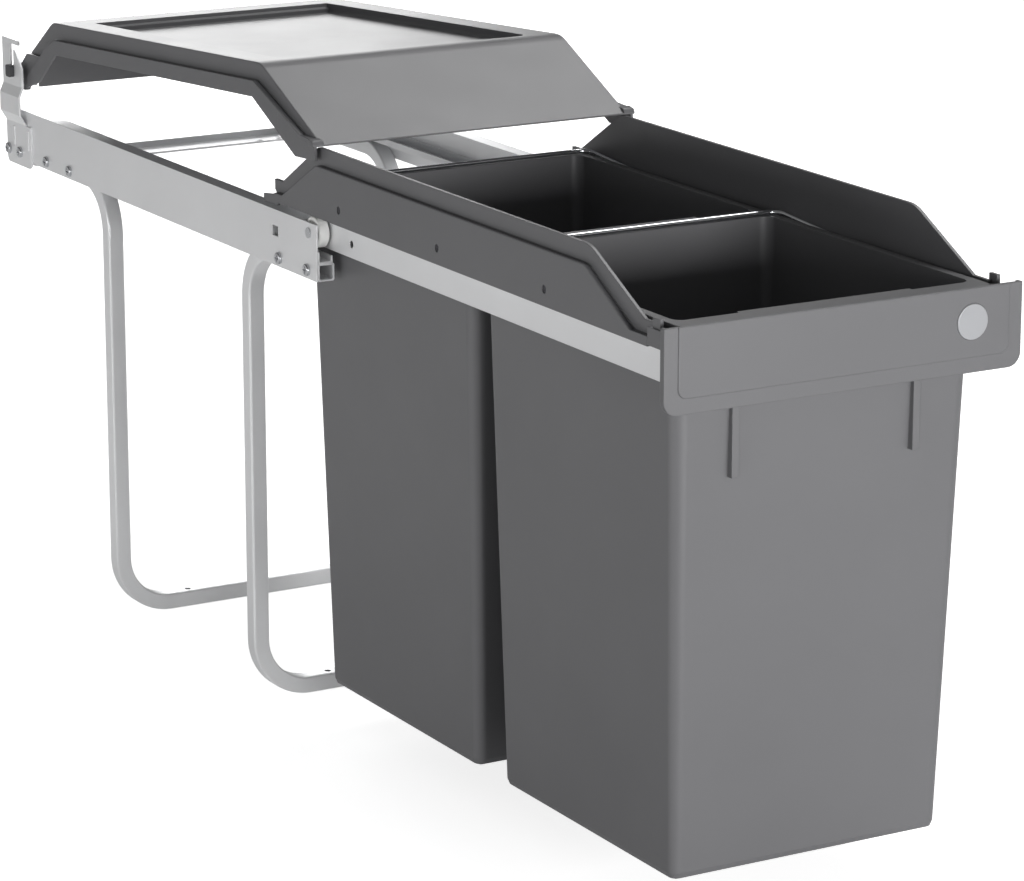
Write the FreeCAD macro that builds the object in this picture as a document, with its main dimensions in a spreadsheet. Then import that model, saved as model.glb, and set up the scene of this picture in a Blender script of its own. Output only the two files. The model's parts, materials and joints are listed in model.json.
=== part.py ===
import FreeCAD, Part
import math
import os
import re
import Sketcher
from FreeCAD import Placement, Rotation, Vector

# Pull-out waste bin for a base cabinet, drawn with its drawer fully out, in millimetres.
# X runs to the right, Y into the cabinet and Z up. The origin is the middle of the
# four floor screws, on the underside of the floor tubes.

os.makedirs("parts", exist_ok=True)
doc = FreeCAD.newDocument("PullOutWasteBin")

# Driving dimensions

dimensions = {
    # Fixed frame of bent square tube
    "tube_size": 12,
    "tube_wall": 1.2,
    "tube_corner": 1.5,
    "tube_bend": 38,
    "frame_width": 245.6,
    "frame_height": 334.5,
    "leg_pitch": 230,
    "front_run": 110.5,
    "rear_run": 171.5,
    "floor_screw_spacing": 125,
    "floor_screw_hole": 4.5,
    # Fixed rail plates and runner channels
    "sheet": 1.2,
    "plate_height": 38.5,
    "plate_flange": 11.4,
    "flange_front_cut": 21,
    "flange_rear_cut": 80,
    "stop_station": 65,
    "stop_length": 9,
    "stop_height": 7,
    "stop_reach": 6,
    "channel_width": 10.8,
    "channel_lip": 5,
    "channel_web": 8,
    # Screws and holes
    "screw_head_radius": 4.15,
    "screw_head_height": 2.2,
    "screw_radius": 2,
    "screw_length": 6,
    "head_round_share": 0.45,
    "slot_width_share": 0.28,
    "slot_length_share": 1.2,
    "slot_depth_share": 0.5,
    "hole_clearance": 0.15,
    "front_screw_station": 34.2,
    "rear_screw_station": 91.6,
    "frame_screw_pitch": 41.6,
    "bracket_screw_station": 14.5,
    "bracket_screw_pitch": 21,
    # Rollers
    "roller_radius": 10.5,
    "roller_width": 7.8,
    "roller_side": 113.5,
    "roller_gap": 0.2,
    "roller_chamfer": 0.7,
    "roller_dish": 1.4,
    "roller_dish_radius": 8.3,
    "roller_hub_radius": 5.2,
    "axle_radius": 3,
    "axle_head": 3.6,
    "axle_head_height": 0.7,
    "axle_play": 0.1,
    "shoulder_radius": 4.4,
    "running_fit": 0.06,
    "front_axle_station": 11,
    # Drawer position and rails
    "drawer_travel": 415,
    "closed_front": 248.5,
    "rail_flange": 364.7,
    "rail_low": 342.8,
    "rail_web": 112,
    "rail_front": 6,
    "rail_rear": 525,
    "rail_nose": 7,
    "rail_corner": 2,
    "upper_web": 119.1,
    "upper_web_front": 8,
    "upper_web_rear": 497,
    "upper_web_top": 383,
    "upper_web_step": 3.8,
    "lobe_low": 341,
    "lobe_length": 26,
    "spare_hole_station": 411,
    "spare_hole_height": 352,
    "spare_hole": 5,
    # Side panels of the drawer
    "skirt_outside": 121.3,
    "moulding_wall": 1.8,
    "skirt_low": 365,
    "skirt_front": 27,
    "skirt_rear": 498,
    "ledge_low": 371,
    "ledge_foot": 46.3,
    "ledge_head": 98.5,
    "ledge_top": 400,
    "ledge_tail": 443,
    "ledge_shoulder": 451,
    "ledge_shoulder_drop": 4,
    "ledge_heel": 494,
    "ledge_thickness": 2,
    "ledge_bend": 10,
    "ledge_round": 1,
    "lug_end": 520,
    "lug_top": 368,
    "lug_low": 363,
    "rim_inside": 115,
    "rim_wall": 2.3,
    "rim_foot": 366.3,
    "rim_top": 411.5,
    "rim_front": 20,
    "rim_front_top": 379,
    "rim_slope_foot": 36,
    "rim_head": 98.8,
    "rim_head_bend": 28,
    "rim_tail": 446,
    "rim_tail_bend": 6,
    "rim_heel": 499.5,
    "rim_end": 511,
    "rim_end_low": 372,
    "groove_ridge": 0.6,
    "groove_width": 1.4,
    "groove_depth": 1.1,
    "panel_screw_station": 144.8,
    "panel_screw_pitch": 133.2,
    "panel_screw_height": 375.6,
    "panel_screw_head": 2.6,
    "panel_screw_sink": 1.2,
    "panel_screw_head_height": 0.7,
    "panel_screw_radius": 1.4,
    # Front panel
    "panel_overhang": 4.7,
    "panel_low": 329,
    "panel_top": 381,
    "panel_depth": 5,
    "panel_wall": 2.2,
    "panel_corner": 9,
    "field_proud": 0.8,
    "field_margin": 9.4,
    "field_corner": 6,
    "field_edge": 0.6,
    "shelf_top": 376.9,
    "shelf_thickness": 2,
    "shelf_depth": 18.5,
    "shelf_gap": 3,
    "cheek_rear": 26.8,
    "cheek_top": 377,
    "cheek_low": 366,
    "cheek_round": 7,
    "cheek_toe": 6,
    "cheek_toe_low": 358.5,
    "web_slot_gap": 0.3,
    "catch_side": 118.8,
    "catch_width": 2.4,
    "catch_station": 19,
    "catch_length": 8,
    "catch_height": 6,
    # Blank badge
    "badge_inset": 36.5,
    "badge_height": 360.5,
    "badge_radius": 11,
    "badge_gap": 0.1,
    "badge_sink": 0.6,
    "badge_rise": 0.6,
    "badge_edge": 0.48,
    # Cross bars under the rims of the bins
    "bar_end_gap": 0.4,
    "bar_rim_gap": 0.1,
    "bar_depth": 11,
    "mid_bar_station": 252,
    "rear_bar_station": 494,
    # Bins
    "bin_station": 133,
    "bin_pitch": 239,
    "bin_low": 29.4,
    "bin_rim_low": 377,
    "bin_rim": 2,
    "bin_wall": 2,
    "bin_side_gap": 4.4,
    "bin_side_reach": 4.3,
    "bin_taper": 9.6,
    "bin_foot_front": 100.5,
    "bin_foot_rear": 104,
    "bin_mouth_front": 112.3,
    "bin_mouth_rear": 112.6,
    "bin_foot_corner": 6.5,
    "bin_foot_round": 5,
    "bin_mouth_corner": 9.4,
    "bin_rim_length": 238,
    "bin_rim_corner": 8,
    "front_rim_reach": 6.5,
    "grip_half": 61,
    "grip_depth": 3,
    "rib_side": 64.4,
    "rib_width": 5.2,
    "rib_reach": 1.4,
    "rib_low": 280.5,
    "boss_radius": 3.8,
    "boss_height": 2.1,
    "boss_web": 3,
    "boss_bore_depth": 3,
    "pivot_height": 373,
    # Wire bails
    "wire_radius": 1.6,
    "bail_play": 0.6,
    "bail_reach": 113.2,
    "bail_corner": 8,
    "bail_pin_bend": 3.4,
    "bail_pin_play": 0.4,
    "bail_rest": 3.95,
    # Hook brackets and cross strip at the rear
    "bracket_sheet": 1.5,
    "bracket_depth": 45,
    "bracket_low": 318,
    "bracket_corner": 5,
    "bracket_bend_low": 350,
    "bracket_bend_high": 358,
    "bracket_step_low": 372,
    "bracket_step_high": 379,
    "bracket_outset": 4.8,
    "bracket_upper_outset": 1.8,
    "bracket_top": 414,
    "bracket_upper_front": 35.5,
    "bracket_waist": 350,
    "ear_low": 393.7,
    "ear_high": 406.4,
    "ear_nose": 22.5,
    "hook_low": 410.5,
    "hook_reach": 30,
    "slot_width": 6,
    "stiffener_width": 3,
    "stiffener_rise": 0.7,
    "stiffener_low": 332,
    "stiffener_high": 347,
    "strip_depth": 24,
    "strip_upstand": 6,
    "strip_setback": 24,
    "strip_hole": 5,
    "strip_hole_inner": 67.2,
    "strip_hole_outer": 83.6,
    "strip_hole_station": 4,
    # Lid, measured level from its pivot
    "lid_pivot_station": 268.9,
    "lid_pivot_height": 390,
    "lid_tilt": 3.55,
    "lid_half": 117.5,
    "lid_wall": 2.2,
    "lid_top": 40,
    "lid_rear": 16,
    "lid_rear_top": 14.7,
    "lid_rear_bend": 58.3,
    "lid_front_bend": 405,
    "lid_front": 491,
    "lid_front_top": -7.1,
    "lid_front_foot": -8.1,
    "lid_rear_radius": 18,
    "lid_front_radius": 27,
    "lid_edge": 0.8,
    "rear_wall_gap": 2,
    "rear_wall_foot": -12,
    "recess_half": 96.5,
    "recess_rear": 88,
    "recess_front": 394,
    "recess_depth": 6.8,
    "recess_step": 2.8,
    "recess_ridge": 3,
    "recess_ridge_fall": 0.8,
    "recess_bevel": 1.2,
    "recess_corner": 8,
    "recess_round": 3,
    "seam_rear": 15,
    "seam_rear_top": -4.5,
    "seam_rise": 54.5,
    "seam_rise_top": 21.5,
    "seam_level": 72,
    "seam_top": 28,
    "seam_bend": 403,
    "seam_end": 470,
    "seam_end_top": -2,
    "band_outside": 122.5,
    "band_wall": 2,
    "band_rear": 14.6,
    "band_rear_foot": -12,
    "band_knee": 38,
    "band_knee_foot": -6,
    "band_level": 71,
    "band_foot": 17,
    "band_bend": 401,
    "foot_heel": 462,
    "foot_low": -17,
    "foot_toe": 490.5,
    "foot_top": -4,
    "foot_root": 438,
    "wing_root": 484,
    "wing_root_top": -3.2,
    "wing_knee": 490,
    "wing_knee_top": -4.7,
    "wing_reach": 1.1,
    "ear_root": 42,
    "ear_root_foot": 5,
    "ear_outside": 121.5,
    "ear_end": 7,
    "ear_crown": 5.5,
    "ear_top": 13.5,
    "ear_bottom": -14.5,
    "ear_round": 5,
    # Sliding bushes of the lid
    "bush_radius": 2.8,
    "bush_start": 116,
    "bush_tip": 1,
    "bush_head_radius": 4.4,
    "bush_gap": 0.15,
    "block_size": 9,
    "block_thickness": 3.4,
    "block_corner": 2,
}

sheet = doc.addObject("Spreadsheet::Sheet", "dims")
for row, (alias, size) in enumerate(dimensions.items(), start=1):
    sheet.set(f"A{row}", alias)
    sheet.set(f"B{row}", str(size))
    sheet.setAlias(f"B{row}", alias)
doc.recompute()

DRAWER_FRONT = "-(closed_front + drawer_travel)"
FRAME_FRONT = "-(leg_pitch / 2 + front_run)"
FRAME_REAR = "leg_pitch / 2 + rear_run"
PLATE_OUTSIDE = "frame_width / 2 + sheet"
TUBE_TOP_AXIS = "frame_height - tube_size / 2"
FRONT_AXLE_HEIGHT = "rail_flange - roller_gap - roller_radius"
REAR_AXLE_HEIGHT = "frame_height + sheet + roller_gap + roller_radius"
REAR_AXLE_STATION = (f"{FRAME_FRONT} + stop_station + sheet + roller_gap + roller_radius"
                     f" - ({DRAWER_FRONT})")
RIM_OUTSIDE = "rim_inside + rim_wall"
PANEL_HALF = "skirt_outside + panel_overhang"
BADGE_SIDE = f"{PANEL_HALF} - badge_inset"
BIN_TOP = "bin_rim_low + bin_rim"
BIN_RIM_HALF = "rim_inside - bin_side_gap"
BIN_MOUTH_HALF = f"{BIN_RIM_HALF} - bin_side_reach"
BIN_FOOT_HALF = f"{BIN_MOUTH_HALF} - bin_taper"
HALF_TURN_DROP = "(1 - sqrt(0.5))"
BOSS_SIDE = f"{BIN_MOUTH_HALF} + boss_height"
BAIL_HALF = "rim_inside - bail_play - wire_radius"
BAIL_PIN_END = f"{BOSS_SIDE} - boss_bore_depth + bail_pin_play"
RECESS_FLOOR = "lid_top - recess_depth"
LID_ROOF = f"{RECESS_FLOOR} - lid_wall"
FOOT_ROOT_TOP = ("seam_top - band_wall - (foot_root - seam_bend)"
                 " * (seam_top - seam_end_top) / (seam_end - seam_bend)")
FOOT_ROOT_LOW = ("band_foot - (foot_root - band_bend)"
                 " * (band_foot - foot_low) / (foot_heel - band_bend)")
SIDES = {"left": -1, "right": 1}


def bound(formula):
    """Names of dimensions stand bare in a formula and get the sheet's name in front here."""
    return re.sub(r"\b([a-z][a-z_]*[a-z])\b(?!\()", r"dims.\1", str(formula))


def value(formula):
    """Number a formula gives with the present dimensions."""
    return float(sheet.evalExpression(bound(formula)))


# Sketches and features whose sizes follow the sheet

pieces = []


def new_body(label, station="0", height="0", tilt="0"):
    """Body whose own origin stands at a station along Y and a height, tipped front up."""
    body = doc.addObject("PartDesign::Body", label)
    body.Label = label
    body.Placement = Placement(Vector(), Rotation(Vector(1, 0, 0), 1))
    body.setExpression("Placement.Base.y", bound(station))
    body.setExpression("Placement.Base.z", bound(height))
    body.setExpression("Placement.Rotation.Angle", f"-({bound(tilt)}) * 1 deg")
    pieces.append(body)
    return body


def new_shape(label, shape, place=None):
    """Sub-part made of a ready shape; its placement is set afterwards."""
    feature = doc.addObject("Part::Feature", label)
    feature.Label = label
    feature.Shape = shape
    feature.Placement = place or Placement()
    pieces.append(feature)
    return feature


def new_sketch(body, plane, offset):
    """Empty sketch parallel to one of the body's planes."""
    sketch = body.newObject("Sketcher::SketchObject", "Sketch")
    roles = {feature.Role: feature for feature in body.Origin.OriginFeatures}
    sketch.AttachmentSupport = [(roles[f"{plane}_Plane"], "")]
    sketch.MapMode = "FlatFace"
    sketch.setExpression("AttachmentOffset.Base.z", bound(offset))
    return sketch


def bind_point(sketch, element, corner, across, up):
    """Holds a point of an element at signed distances from the sketch's origin."""
    for kind, formula in (("DistanceX", across), ("DistanceY", up)):
        index = sketch.addConstraint(
            Sketcher.Constraint(kind, -1, 1, element, corner, value(formula)))
        sketch.setExpression(f"Constraints[{index}]", bound(formula))


def polygon(*points):
    """Closed outline through points given as pairs of formulas."""
    def draw(sketch):
        corners = [Vector(value(across), value(up), 0) for across, up in points]
        for index, corner in enumerate(corners):
            sketch.addGeometry(Part.LineSegment(corner, corners[(index + 1) % len(corners)]), False)
        for index in range(len(corners)):
            following = (index + 1) % len(corners)
            sketch.addConstraint(Sketcher.Constraint("Coincident", index, 2, following, 1))
        for index, (across, up) in enumerate(points):
            bind_point(sketch, index, 1, across, up)
    return draw


def box_outline(left, right, low, high):
    """Closed rectangle."""
    return polygon((left, low), (right, low), (right, high), (left, high))


def circle(across, up, radius):
    """Circle about a point."""
    def draw(sketch):
        centre = Vector(value(across), value(up), 0)
        sketch.addGeometry(Part.Circle(centre, Vector(0, 0, 1), value(radius)), False)
        bind_point(sketch, 0, 3, across, up)
        index = sketch.addConstraint(Sketcher.Constraint("Radius", 0, value(radius)))
        sketch.setExpression(f"Constraints[{index}]", bound(radius))
    return draw


def rounded_box(left, right, low, high, radius):
    """Rectangle with four equal round corners."""
    def draw(sketch):
        x_low, x_high = value(left), value(right)
        y_low, y_high = value(low), value(high)
        r = value(radius)
        ends = [
            (Vector(x_low + r, y_low, 0), Vector(x_high - r, y_low, 0)),
            (Vector(x_high, y_low + r, 0), Vector(x_high, y_high - r, 0)),
            (Vector(x_high - r, y_high, 0), Vector(x_low + r, y_high, 0)),
            (Vector(x_low, y_high - r, 0), Vector(x_low, y_low + r, 0)),
        ]
        centres = [
            Vector(x_high - r, y_low + r, 0),
            Vector(x_high - r, y_high - r, 0),
            Vector(x_low + r, y_high - r, 0),
            Vector(x_low + r, y_low + r, 0),
        ]
        for start, end in ends:
            sketch.addGeometry(Part.LineSegment(start, end), False)
        for index, centre in enumerate(centres):
            full = Part.Circle(centre, Vector(0, 0, 1), r)
            turn = (index - 1) * math.pi / 2
            sketch.addGeometry(Part.ArcOfCircle(full, turn, turn + math.pi / 2), False)
        for index in range(4):
            sketch.addConstraint(Sketcher.Constraint("Tangent", index, 2, index + 4, 1))
            sketch.addConstraint(Sketcher.Constraint("Tangent", index + 4, 2, (index + 1) % 4, 1))
        for index in (0, 2):
            sketch.addConstraint(Sketcher.Constraint("Horizontal", index))
            sketch.addConstraint(Sketcher.Constraint("Vertical", index + 1))
        for index in (5, 6, 7):
            sketch.addConstraint(Sketcher.Constraint("Equal", 4, index))
        limits = (
            ("DistanceY", 0, low),
            ("DistanceX", 1, right),
            ("DistanceY", 2, high),
            ("DistanceX", 3, left),
        )
        for kind, line, formula in limits:
            index = sketch.addConstraint(
                Sketcher.Constraint(kind, -1, 1, line, 1, value(formula)))
            sketch.setExpression(f"Constraints[{index}]", bound(formula))
        index = sketch.addConstraint(Sketcher.Constraint("Radius", 4, r))
        sketch.setExpression(f"Constraints[{index}]", bound(radius))
    return draw


def slab(body, kind, plane, low, high, draw):
    """Pad or pocket that fills the space between two positions along the plane's axis."""
    faces_back = plane == "XZ"
    starts_low = (kind == "Pad") != faces_back
    start = low if starts_low else high
    sketch = new_sketch(body, plane, f"-({start})" if faces_back else start)
    draw(sketch)
    feature = body.newObject(f"PartDesign::{kind}", kind)
    feature.Profile = sketch
    feature.setExpression("Length", bound(f"({high}) - ({low})"))
    doc.recompute()
    return feature


def add(body, plane, low, high, draw):
    """Adds material between two positions."""
    return slab(body, "Pad", plane, low, high, draw)


def cut(body, plane, low, high, draw):
    """Removes material between two positions."""
    return slab(body, "Pocket", plane, low, high, draw)


def side_span(side, near, far):
    """Low and high X of a layer that lies between two distances from the middle."""
    return (near, far) if side > 0 else (f"-({far})", f"-({near})")


def add_side(body, side, near, far, draw):
    """Adds a layer on one side of the middle plane."""
    return add(body, "YZ", *side_span(side, near, far), draw)


def cut_side(body, side, near, far, draw):
    """Removes a layer on one side of the middle plane."""
    return cut(body, "YZ", *side_span(side, near, far), draw)


def loft(body, kind, levels):
    """Loft through outlines given with their heights, from the lowest up."""
    sections = []
    for height, draw in levels:
        sketch = new_sketch(body, "XY", height)
        draw(sketch)
        sections.append(sketch)
    feature = body.newObject(f"PartDesign::{kind}Loft", "Loft")
    feature.Profile = sections[0]
    feature.Sections = sections[1:]
    feature.Ruled = True
    doc.recompute()
    return feature


def soften(body, radius, picks, kind="Fillet"):
    """Rounds or bevels the edges of the body that a test picks."""
    base = body.Tip
    names = [f"Edge{number}" for number, edge in enumerate(base.Shape.Edges, start=1)
             if picks(edge.BoundBox)]
    feature = body.newObject(f"PartDesign::{kind}", kind)
    feature.Base = (base, names)
    feature.setExpression("Radius" if kind == "Fillet" else "Size", bound(radius))
    doc.recompute()
    return feature


def near(first, second):
    """True when two lengths agree."""
    return abs(first - second) < 0.05


def runs_along_x(box):
    """True for the bounds of an edge that lies along X."""
    return box.YLength < 0.05 and box.ZLength < 0.05


# Bent bars, built as straight runs and quarter bends

def bent_bar(faces, steps, start):
    """Follows steps of (length) or (radius, direction) with the faces as the section."""
    place = start
    solids = []
    for step in steps:
        section = [face.copy() for face in faces]
        for face in section:
            face.Placement = place.multiply(face.Placement)
        heading = place.Rotation.multVec(Vector(0, 0, 1))
        if len(step) == 1:
            outline = [face.extrude(heading * step[0]) for face in section]
            place = place.multiply(Placement(Vector(0, 0, step[0]), Rotation()))
        else:
            radius, inward = step
            towards = place.Rotation.multVec(inward)
            centre = place.Base + towards * radius
            axis = heading.cross(towards)
            outline = [face.revolve(centre, axis, 90) for face in section]
            place = Placement(Vector(), Rotation(axis, 90), centre).multiply(place)
        solid = outline[0]
        for core in outline[1:]:
            solid = solid.cut(core)
        solids.append(solid)
    return solids[0].fuse(solids[1:]).removeSplitter()


def rounded_square(size, corner):
    """Square face with round corners about the origin."""
    block = Part.makeBox(size, size, 1, Vector(-size / 2, -size / 2, 0))
    upright = [edge for edge in block.Edges if near(edge.BoundBox.ZLength, 1)]
    block = block.makeFillet(corner, upright)
    base = [face for face in block.Faces if near(face.BoundBox.ZMax, 0)]
    return base[0]


def floor_tube(label, station, run, turned):
    """Square tube bent to a floor bar, two legs and two runs that carry the rails."""
    size = value("tube_size")
    wall = value("tube_wall")
    corner = value("tube_corner")
    bend = value("tube_bend")
    section = [rounded_square(size, corner), rounded_square(size - 2 * wall, corner / 2)]
    half = value("frame_width / 2 - tube_size / 2")
    top = value(TUBE_TOP_AXIS)
    down = Vector(0, 1, 0)
    inward = Vector(1, 0, 0)
    leg = top - size / 2 - 2 * bend
    steps = [
        (run - bend,), (bend, down), (leg,), (bend, inward), (2 * (half - bend),),
        (bend, inward), (leg,), (bend, down), (run - bend,),
    ]
    start = Placement(Vector(-half, -run, top), Rotation(Vector(1, 0, 0), -90))
    shape = bent_bar(section, steps, start)
    if turned:
        shape.rotate(Vector(), Vector(0, 0, 1), 180)
    for side in SIDES.values():
        place = Vector(side * value("floor_screw_spacing / 2"), 0, -size)
        shape = shape.cut(Part.makeCylinder(value("floor_screw_hole / 2"), 3 * size, place))
    for side in SIDES.values():
        for hole_station in screw_stations(turned):
            hole = cylinder_x(value("screw_radius + hole_clearance"), side, half, 2 * size)
            hole.translate(Vector(0, hole_station - station, top))
            shape = shape.cut(hole)
    new_shape(label, shape, Placement(Vector(0, station, 0), Rotation()))


def cylinder_x(radius, side, start, length):
    """Cylinder along X that starts at a distance from the middle and runs outward."""
    return Part.makeCylinder(radius, length, Vector(side * start, 0, 0), Vector(side, 0, 0))


def pair_about(middle, pitch):
    """Two stations, as formulas, half a pitch before and behind a middle."""
    return [f"{middle} - {pitch} / 2", f"{middle} + {pitch} / 2"]


FRONT_SCREWS = pair_about(f"{FRAME_FRONT} + front_screw_station", "frame_screw_pitch")
REAR_SCREWS = pair_about(f"{FRAME_REAR} - rear_screw_station", "frame_screw_pitch")
BRACKET_SCREWS = pair_about(f"{FRAME_REAR} - bracket_screw_station", "bracket_screw_pitch")


def screw_stations(rear):
    """Stations of the screws through the tube ends of one floor tube."""
    stations = REAR_SCREWS + BRACKET_SCREWS if rear else FRONT_SCREWS
    return [value(station) for station in stations]


# Rails fixed to the frame

def rail_plate(name, side):
    """Upright plate on the tube ends with a top flange, a stop tab and its window."""
    body = new_body(f"rail_plate_{name}")
    inside = "frame_width / 2"
    low = "frame_height - tube_size"
    top = f"{low} + plate_height"
    add_side(body, side, inside, PLATE_OUTSIDE,
             box_outline(FRAME_FRONT, FRAME_REAR, low, top))
    add_side(body, side, f"{PLATE_OUTSIDE} - plate_flange", PLATE_OUTSIDE,
             box_outline(f"{FRAME_FRONT} + flange_front_cut", f"{FRAME_REAR} - flange_rear_cut",
                         f"{top} - sheet", top))
    window_rear = f"{FRAME_FRONT} + stop_station"
    window_low = f"{REAR_AXLE_HEIGHT} - stop_height / 2"
    window_high = f"{REAR_AXLE_HEIGHT} + stop_height / 2"
    cut_side(body, side, f"{inside} - sheet", f"{PLATE_OUTSIDE} + sheet",
             box_outline(f"{window_rear} - stop_length", window_rear, window_low, window_high))
    add_side(body, side, f"{inside} - stop_reach", PLATE_OUTSIDE,
             box_outline(f"{window_rear}", f"{window_rear} + sheet", window_low, window_high))
    for station in FRONT_SCREWS + REAR_SCREWS + BRACKET_SCREWS:
        cut_side(body, side, f"{inside} - sheet", f"{PLATE_OUTSIDE} + sheet",
                 circle(station, TUBE_TOP_AXIS, "screw_radius + hole_clearance"))
    cut_side(body, side, f"{inside} - sheet", f"{PLATE_OUTSIDE} + sheet",
             circle(f"{FRAME_FRONT} + front_axle_station", FRONT_AXLE_HEIGHT, "axle_radius"))


def runner_channel(name, side):
    """Low channel on the tubes in which the rear roller of the drawer runs."""
    body = new_body(f"runner_channel_{name}")
    inner = "frame_width / 2 - channel_width"
    outer = "frame_width / 2"
    low = "frame_height"
    spans = [
        (inner, outer, f"{low} + sheet"),
        (inner, f"{inner} + sheet", f"{low} + channel_lip"),
        (f"{outer} - sheet", outer, f"{low} + channel_web"),
    ]
    for near_side, far_side, high in spans:
        left, right = side_span(side, near_side, far_side)
        add(body, "XZ", FRAME_FRONT, FRAME_REAR, box_outline(left, right, low, high))


# Rollers and axles

def roller(name, side, station, height):
    """Plastic roller with a dished face on both sides of its hub."""
    body = new_body(name, station, height)
    near_side = "roller_side"
    far_side = "roller_side + roller_width"
    add_side(body, side, near_side, far_side, circle("0", "0", "roller_radius"))
    soften(body, "roller_chamfer", lambda box: box.XLength < 0.05, "Chamfer")
    ring_spans = [
        (near_side, f"{near_side} + roller_dish"),
        (f"{far_side} - roller_dish", far_side),
    ]
    for start, end in ring_spans:
        cut_side(body, side, start, end, ring("roller_dish_radius", "roller_hub_radius"))
    cut_side(body, side, f"{near_side} - roller_dish", f"{far_side} + roller_dish",
             circle("0", "0", "axle_radius + running_fit"))


def ring(outer, inner):
    """Two circles about the sketch's origin."""
    def draw(sketch):
        for index, radius in enumerate((outer, inner)):
            sketch.addGeometry(Part.Circle(Vector(), Vector(0, 0, 1), value(radius)), False)
            bind_point(sketch, index, 3, "0", "0")
            number = sketch.addConstraint(Sketcher.Constraint("Radius", index, value(radius)))
            sketch.setExpression(f"Constraints[{number}]", bound(radius))
    return draw


def axle_set(label, sections, station, height):
    """Pair of headed axles, one on each side, from sections of (radius, start, end)."""
    solids = []
    for side in SIDES.values():
        parts = [cylinder_x(value(radius), side, value(start), value(f"({end}) - ({start})"))
                 for radius, start, end in sections]
        solids.append(parts[0].fuse(parts[1:]).removeSplitter())
    new_shape(label, Part.makeCompound(solids), Placement(Vector(0, station, height), Rotation()))


def front_axles():
    """Axles riveted in the rail plates under the drawer rails."""
    head_end = "roller_side - axle_play"
    sections = [
        ("axle_radius", f"{head_end} - axle_head_height", f"{PLATE_OUTSIDE} + axle_head_height"),
        ("axle_head", f"{head_end} - axle_head_height", head_end),
        ("shoulder_radius", "roller_side + roller_width + axle_play", "frame_width / 2"),
        ("axle_head", PLATE_OUTSIDE, f"{PLATE_OUTSIDE} + axle_head_height"),
    ]
    axle_set("front_roller_axles", sections,
             value(f"{FRAME_FRONT} + front_axle_station"), value(FRONT_AXLE_HEIGHT))


def rear_axles():
    """Axles riveted in the rear ends of the drawer rails."""
    head_start = "roller_side + roller_width + axle_play"
    inner_end = "rail_web - sheet - axle_head_height"
    sections = [
        ("axle_radius", inner_end, f"{head_start} + axle_head_height"),
        ("axle_head", inner_end, "rail_web - sheet"),
        ("shoulder_radius", "rail_web", "roller_side - axle_play"),
        ("axle_head", head_start, f"{head_start} + axle_head_height"),
    ]
    axle_set("rear_roller_axles", sections,
             value(f"{DRAWER_FRONT} + {REAR_AXLE_STATION}"), value(REAR_AXLE_HEIGHT))


# Screws

def screw(side, start, head_radius, head_height, radius, length):
    """Round-headed screw along X whose head stands on the outside of a sheet."""
    head = cylinder_x(head_radius, side, start, head_height)
    rim = [edge for edge in head.Edges if near(abs(edge.CenterOfMass.x), start + head_height)]
    head = head.makeFillet(head_height * value("head_round_share"), rim[:1])
    shank = cylinder_x(radius, side, start - length, length)
    body = head.fuse(shank)
    slot_width = head_radius * value("slot_width_share")
    slot_length = head_radius * value("slot_length_share")
    slot_start = start + head_height * value("1 - slot_depth_share")
    left = slot_start if side > 0 else -slot_start - head_height
    for wide, tall in ((slot_width, slot_length), (slot_length, slot_width)):
        slot = Part.makeBox(head_height, wide, tall, Vector(left, -wide / 2, -tall / 2))
        body = body.cut(slot)
    return body


def screw_group(label, stations, height, start, sizes):
    """Same screws on both sides at several stations."""
    solids = []
    for side in SIDES.values():
        for station in stations:
            solid = screw(side, start, *sizes)
            solid.translate(Vector(0, station, height))
            solids.append(solid)
    new_shape(label, Part.makeCompound(solids))


def frame_screws():
    """Screws of the rail plates and, over the brackets, those of the hook brackets."""
    sizes = [value(name) for name in
             ("screw_head_radius", "screw_head_height", "screw_radius", "screw_length")]
    plain = [value(station) for station in FRONT_SCREWS + REAR_SCREWS]
    screw_group("frame_screws", plain, value(TUBE_TOP_AXIS), value(PLATE_OUTSIDE), sizes)
    over_bracket = [value(station) for station in BRACKET_SCREWS]
    screw_group("bracket_screws", over_bracket, value(TUBE_TOP_AXIS),
                value(f"{PLATE_OUTSIDE} + bracket_sheet"), sizes)


def panel_screws():
    """Small sunk screws that hold the side panels to the drawer rails."""
    sizes = [value(name) for name in
             ("panel_screw_head - hole_clearance", "panel_screw_head_height",
              "panel_screw_radius",
              "skirt_outside - panel_screw_sink - rim_inside - rim_wall - hole_clearance")]
    first = value(f"{DRAWER_FRONT} + panel_screw_station")
    stations = [first + index * value("panel_screw_pitch") for index in range(3)]
    screw_group("panel_screws", stations, value("panel_screw_height"),
                value("skirt_outside - panel_screw_sink"), sizes)


# Drawer rails and cross bars

def panel_screw_holes(body, side, near_side, far_side, radius):
    """Three holes along a side panel."""
    for index in range(3):
        cut_side(body, side, near_side, far_side,
                 circle(f"panel_screw_station + {index} * panel_screw_pitch",
                        "panel_screw_height", radius))


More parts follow.
